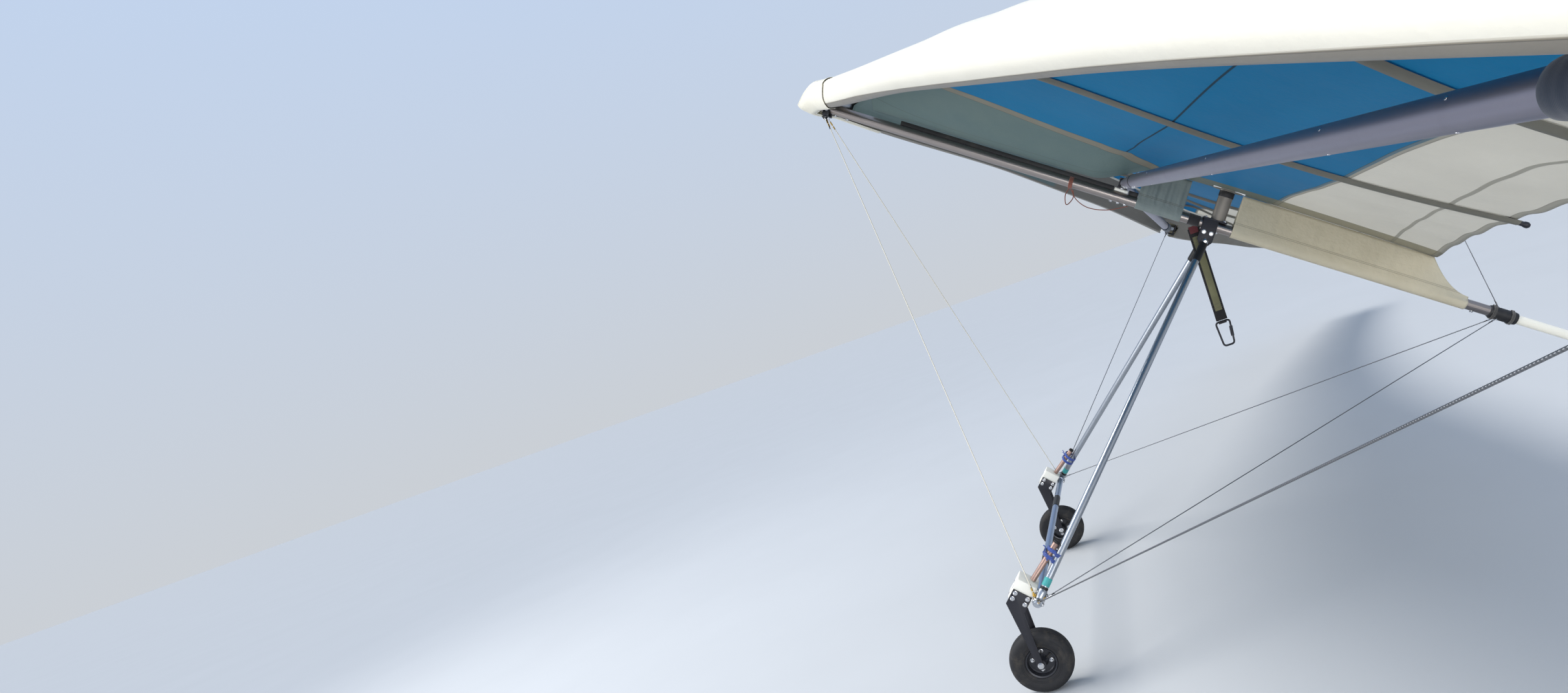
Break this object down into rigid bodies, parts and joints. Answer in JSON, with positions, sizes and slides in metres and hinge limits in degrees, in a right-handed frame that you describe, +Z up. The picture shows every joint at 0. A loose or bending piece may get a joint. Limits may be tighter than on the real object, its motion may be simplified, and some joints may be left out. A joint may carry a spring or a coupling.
{
  "type": "hang glider",
  "caption": "Kingposted single-surface tandem hang glider with tubular control frame, wire stays, cloth wing and pneumatic wheels, parked nose-up on wheels and tail.",
  "frame": {"origin": "centre of the parked glider's footprint box, on the floor under it", "axes": "+X to the glider's own left wing tip, +Y aft from nose to tail, +Z up"},
  "size_m": [10.3532, 3.4894, 2.6114],
  "materials": {
    "anodised_tube": "bright drawn aluminium tube, lightly scratched",
    "white_tube": "white powder coat",
    "black_fitting": "black anodised plate and steel, edges worn",
    "rim_steel": "dark grey painted steel rim",
    "white_nylon": "machined white nylon block",
    "black_rubber": "matt rubber",
    "tyre_rubber": "matt black tyre rubber, dusty tread",
    "stay_wire": "stranded stainless cable under clear sleeve",
    "white_cloth": "white coated polyester sailcloth, stitched",
    "blue_cloth": "blue coated polyester sailcloth with white rear panels",
    "keel_cloth": "grey-white sailcloth, wrinkled",
    "navy_cloth": "dark navy padded sleeve",
    "black_webbing": "black woven webbing"
  },
  "bodies": {
    "airframe": {"keel_tube": "anodised_tube", "keel_rear_sleeve": "black_webbing", "keel_stinger": "white_tube", "tail_cap": "black_rubber", "nose_plates": "black_fitting", "nose_cone": "white_cloth", "crossbar_centre_hinge": "black_fitting", "kingpost": "anodised_tube", "kingpost_cap": "black_fitting", "apex_bracket": "black_fitting", "base_bar": "anodised_tube", "upper_front_wire": "stay_wire", "upper_rear_wire": "stay_wire", "keel_pocket_front": "keel_cloth", "keel_pocket_rear": "keel_cloth", "hang_loop": "black_webbing", "leading_edge_tube_left": "anodised_tube", "leading_edge_tube_right": "anodised_tube", "leading_edge_pocket_left": "white_cloth", "leading_edge_pocket_right": "white_cloth", "sail_left": "blue_cloth", "sail_right": "blue_cloth", "crossbar_left": "anodised_tube", "crossbar_right": "anodised_tube", "crossbar_sleeve_left": "navy_cloth", "crossbar_sleeve_right": "navy_cloth", "crossbar_end_bracket_left": "black_fitting", "crossbar_end_bracket_right": "black_fitting", "upright_left": "anodised_tube", "upright_right": "anodised_tube", "corner_bracket_left": "anodised_tube", "corner_bracket_right": "anodised_tube", "wheel_leg_left": "anodised_tube", "wheel_leg_right": "anodised_tube", "fork_block_left": "white_nylon", "fork_block_right": "white_nylon", "fork_left": "black_fitting", "fork_right": "black_fitting", "lower_front_wire_left": "stay_wire", "lower_front_wire_right": "stay_wire", "lower_side_wire_left": "stay_wire", "lower_side_wire_right": "stay_wire", "lower_rear_wire_left": "stay_wire", "lower_rear_wire_right": "stay_wire", "upper_side_wire_left": "stay_wire", "upper_side_wire_right": "stay_wire"},
    "wheel_left": {"tyre_left": "tyre_rubber", "rim_left": "rim_steel"},
    "wheel_right": {"tyre_right": "tyre_rubber", "rim_right": "rim_steel"},
    "strap": {"hang_strap": "black_webbing", "carabiner": "black_fitting"}
  },
  "joints": [
    {"name": "wheel_left_spin", "type": "hinge", "parent": "airframe", "child": "wheel_left", "pos_m": [0.72, -1.38739, 0.12598], "axis": [1, 0, 0], "continuous": true},
    {"name": "wheel_right_spin", "type": "hinge", "parent": "airframe", "child": "wheel_right", "pos_m": [-0.72, -1.38739, 0.12598], "axis": [1, 0, 0], "continuous": true},
    {"name": "hang_strap_swing", "type": "hinge", "parent": "airframe", "child": "strap", "pos_m": [0, -0.2886, 1.43814], "axis": [1, 0, 0], "range_deg": [-75, 35]}
  ]
}
